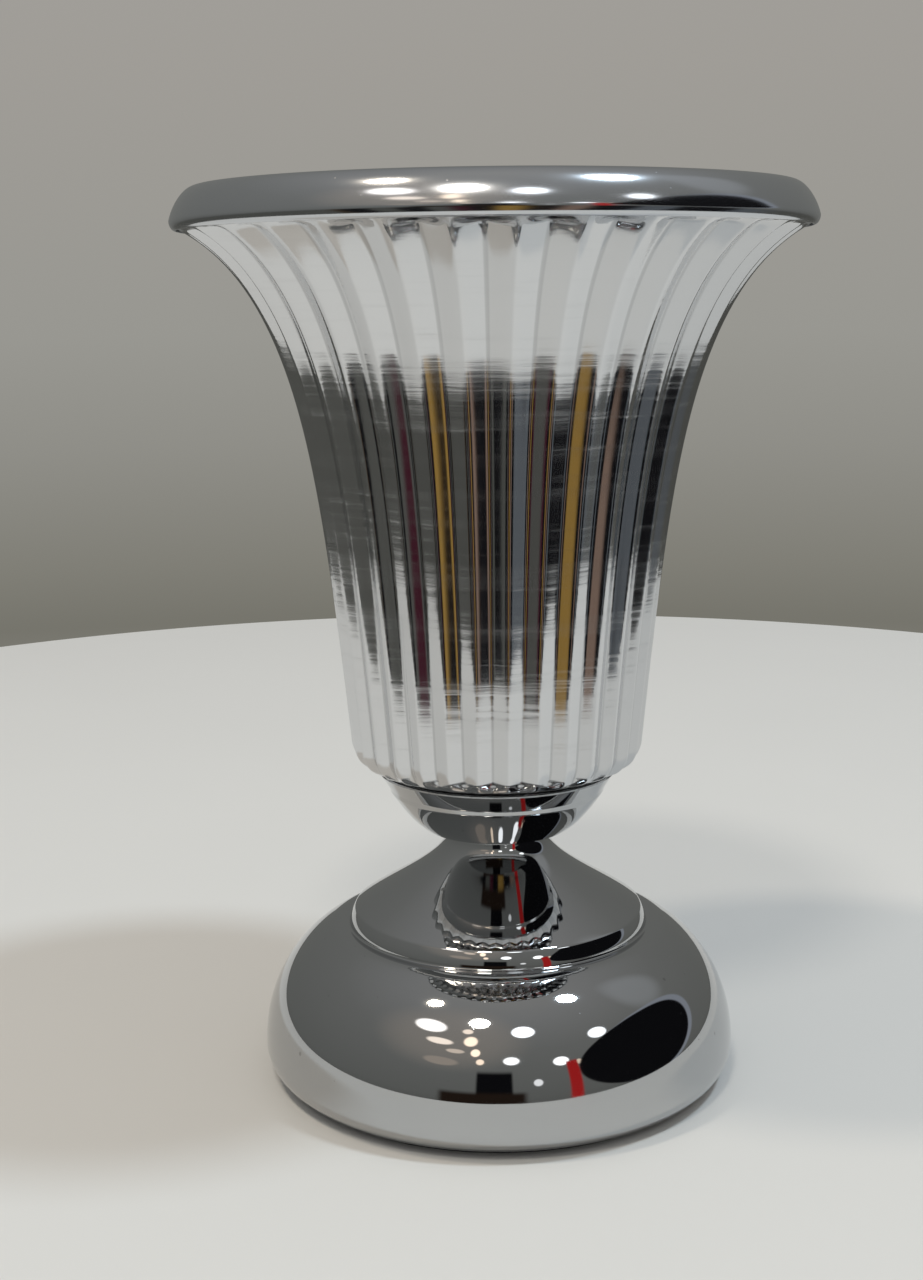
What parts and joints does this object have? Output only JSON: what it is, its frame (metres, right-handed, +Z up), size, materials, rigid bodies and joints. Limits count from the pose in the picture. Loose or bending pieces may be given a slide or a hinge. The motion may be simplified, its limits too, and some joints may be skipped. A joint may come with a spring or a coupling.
{
  "type": "vase",
  "caption": "Fluted trumpet vase of polished metal with a rolled rim hoop, standing on a collar and a stepped round chrome foot.",
  "frame": {"origin": "centre of the pad's underside, on the surface that the vase stands on", "axes": "+Z up along the axis of the vase, +Y away from the viewer of the picture, +X to the right"},
  "size_m": [0.152, 0.152, 0.2188],
  "materials": {
    "chrome": "mirror bright, a few fine pits and dust specks",
    "polished_aluminium": "hand polished, faint lines round the body",
    "cast_iron": "as cast, matt",
    "rubber": "matt",
    "zinc_steel": "zinc plated, satin",
    "fibre": "vulcanised fibre, matt"
  },
  "bodies": {
    "root": {"rim_hoop": "chrome", "fluted_shell": "polished_aluminium", "collar": "chrome", "foot_shell": "chrome", "ballast_weight": "cast_iron", "base_pad": "rubber", "tie_rod": "zinc_steel", "cap_nut": "zinc_steel", "floor_washer": "zinc_steel", "floor_seal": "rubber", "shell_gasket": "rubber", "spacer_tube": "zinc_steel", "neck_gasket": "fibre", "load_washer": "zinc_steel", "spring_washer": "zinc_steel", "base_nut": "zinc_steel"}
  },
  "joints": []
}
